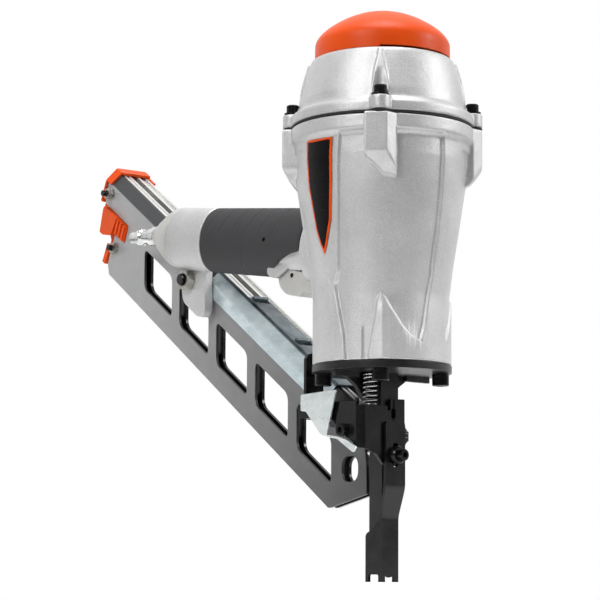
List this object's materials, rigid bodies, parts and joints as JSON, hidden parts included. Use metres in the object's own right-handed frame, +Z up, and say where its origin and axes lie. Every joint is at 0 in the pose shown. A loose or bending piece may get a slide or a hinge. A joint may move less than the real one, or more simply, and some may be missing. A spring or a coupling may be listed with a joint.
{
  "type": "pneumatic nail gun",
  "caption": "Air-powered strip nailer: upright cylinder head on a slim nose with a sprung work contact, a rubber-covered handle, and a long slotted magazine sloping up behind.",
  "frame": {"origin": "bottom centre of the whole tool's bounding box, level with the tip of the work contact", "axes": "+Z up along the drive axis, away from the work; +Y to the rear, along the handle; -X is the side with the magazine's nut and the guard plate. The drive axis stands at y = -0.13744"},
  "size_m": [0.114, 0.3888, 0.354],
  "materials": {
    "cast_aluminium": "cast, sprayed light silver grey",
    "black_steel": "blackened",
    "black_casting": "cast, black",
    "grey_steel": "satin grey",
    "zinc_steel": "zinc plated",
    "bright_aluminium": "drawn, bright",
    "orange": "moulded, satin",
    "grip_rubber": "matt",
    "seal_rubber": "matt",
    "tool_steel": "ground",
    "black_plastic": "matt",
    "label_film": "printed panel, black with an orange edge"
  },
  "bodies": {
    "tool": {"exhaust_cover_screw": "black_steel", "cylinder_cap": "cast_aluminium", "cap_gasket": "seal_rubber", "housing": "cast_aluminium", "label_panel": "label_film", "cylinder_sleeve": "bright_aluminium", "bumper": "seal_rubber", "head_valve_spring": "tool_steel", "nose_casting": "black_casting", "guide_knob": "black_steel", "cap_bolt_1": "black_steel", "cap_bolt_2": "black_steel", "cap_bolt_3": "black_steel", "cap_bolt_4": "black_steel", "nose_bolt_1": "black_steel", "nose_bolt_2": "black_steel", "nose_bolt_3": "black_steel", "nose_bolt_4": "black_steel", "contact_spring": "tool_steel", "guard_plate": "zinc_steel", "trigger_pin": "black_steel", "trigger_valve_body": "black_plastic", "grip": "grip_rubber", "handle_end_cap": "cast_aluminium", "air_plug": "zinc_steel", "magazine_plate_near": "grey_steel", "magazine_plate_far": "black_steel", "magazine_inner_rail": "bright_aluminium", "magazine_outer_rail": "bright_aluminium", "magazine_bottom_spacer": "black_steel", "magazine_front_spacer": "black_steel", "channel_cover": "zinc_steel", "magazine_rear_cap": "orange", "rear_bolt_upper": "black_steel", "rear_bolt_lower": "black_steel", "rear_nut_upper": "zinc_steel", "rear_nut_lower": "zinc_steel", "lug_bolt": "black_steel", "lug_nut": "zinc_steel"},
    "exhaust_cover": {"exhaust_cover": "orange"},
    "piston": {"piston": "bright_aluminium", "piston_ring": "seal_rubber", "driver_blade": "tool_steel"},
    "head_valve": {"head_valve": "black_plastic"},
    "trigger": {"trigger": "cast_aluminium"},
    "trigger_lever": {"trigger_lever": "zinc_steel"},
    "valve_stem": {"trigger_valve_stem": "tool_steel"},
    "contact": {"contact_bracket": "black_steel", "bracket_side_screw": "black_steel", "depth_collar": "black_steel"},
    "contact_tip": {"contact_tip": "black_steel"},
    "depth_screw": {"depth_screw": "black_steel"},
    "follower": {"follower": "black_plastic", "follower_spring": "tool_steel"},
    "latch": {"magazine_latch": "orange"}
  },
  "joints": [
    {"name": "exhaust_turn", "type": "hinge", "parent": "tool", "child": "exhaust_cover", "pos_m": [0, -0.13744, 0.33], "axis": [0, 0, 1], "continuous": true},
    {"name": "piston_stroke", "type": "slide", "parent": "tool", "child": "piston", "axis": [0, 0, -1], "range_m": [0, 0.1095]},
    {"name": "head_valve_lift", "type": "slide", "parent": "tool", "child": "head_valve", "axis": [0, 0, 1], "range_m": [0, 0.006], "stiffness_N_per_m": 1500, "springref_m": -0.006, "deforming": ["head_valve_spring"]},
    {"name": "trigger_pull", "type": "hinge", "parent": "tool", "child": "trigger", "pos_m": [0, -0.06044, 0.1954], "axis": [-1, 0, 0], "range_deg": [0, 9], "stiffness_Nm_per_rad": 0.4, "springref_deg": -14.32},
    {"name": "trigger_lever_lift", "type": "hinge", "parent": "trigger", "child": "trigger_lever", "pos_m": [0, -0.06514, 0.1905], "axis": [-1, 0, 0], "range_deg": [0, 7.5], "stiffness_Nm_per_rad": 0.02, "springref_deg": -11.46},
    {"name": "valve_stem_lift", "type": "slide", "parent": "tool", "child": "valve_stem", "axis": [0, 0, 1], "range_m": [0, 0.0026]},
    {"name": "contact_lift", "type": "slide", "parent": "tool", "child": "contact", "axis": [0, 0, 1], "range_m": [0, 0.009], "stiffness_N_per_m": 500, "springref_m": -0.012, "deforming": ["contact_spring"]},
    {"name": "depth_adjust", "type": "slide", "parent": "contact", "child": "contact_tip", "axis": [0, 0, 1], "range_m": [-0.005, 0.005]},
    {"name": "depth_screw_turn", "type": "hinge", "parent": "contact", "child": "depth_screw", "pos_m": [0, -0.15444, 0.0765], "axis": [0, -1, 0], "continuous": true},
    {"name": "follower_slide", "type": "slide", "parent": "tool", "child": "follower", "axis": [-0.0807, -0.8325, -0.5481], "range_m": [0, 0.28]},
    {"name": "latch_slide", "type": "slide", "parent": "tool", "child": "latch", "axis": [0.0807, 0.8325, 0.5481], "range_m": [0, 0.004], "stiffness_N_per_m": 800, "springref_m": -0.004}
  ],
  "couplings": [
    {"joint": "valve_stem_lift", "follows": "trigger_pull", "m_per_rad": 0.01592}
  ]
}
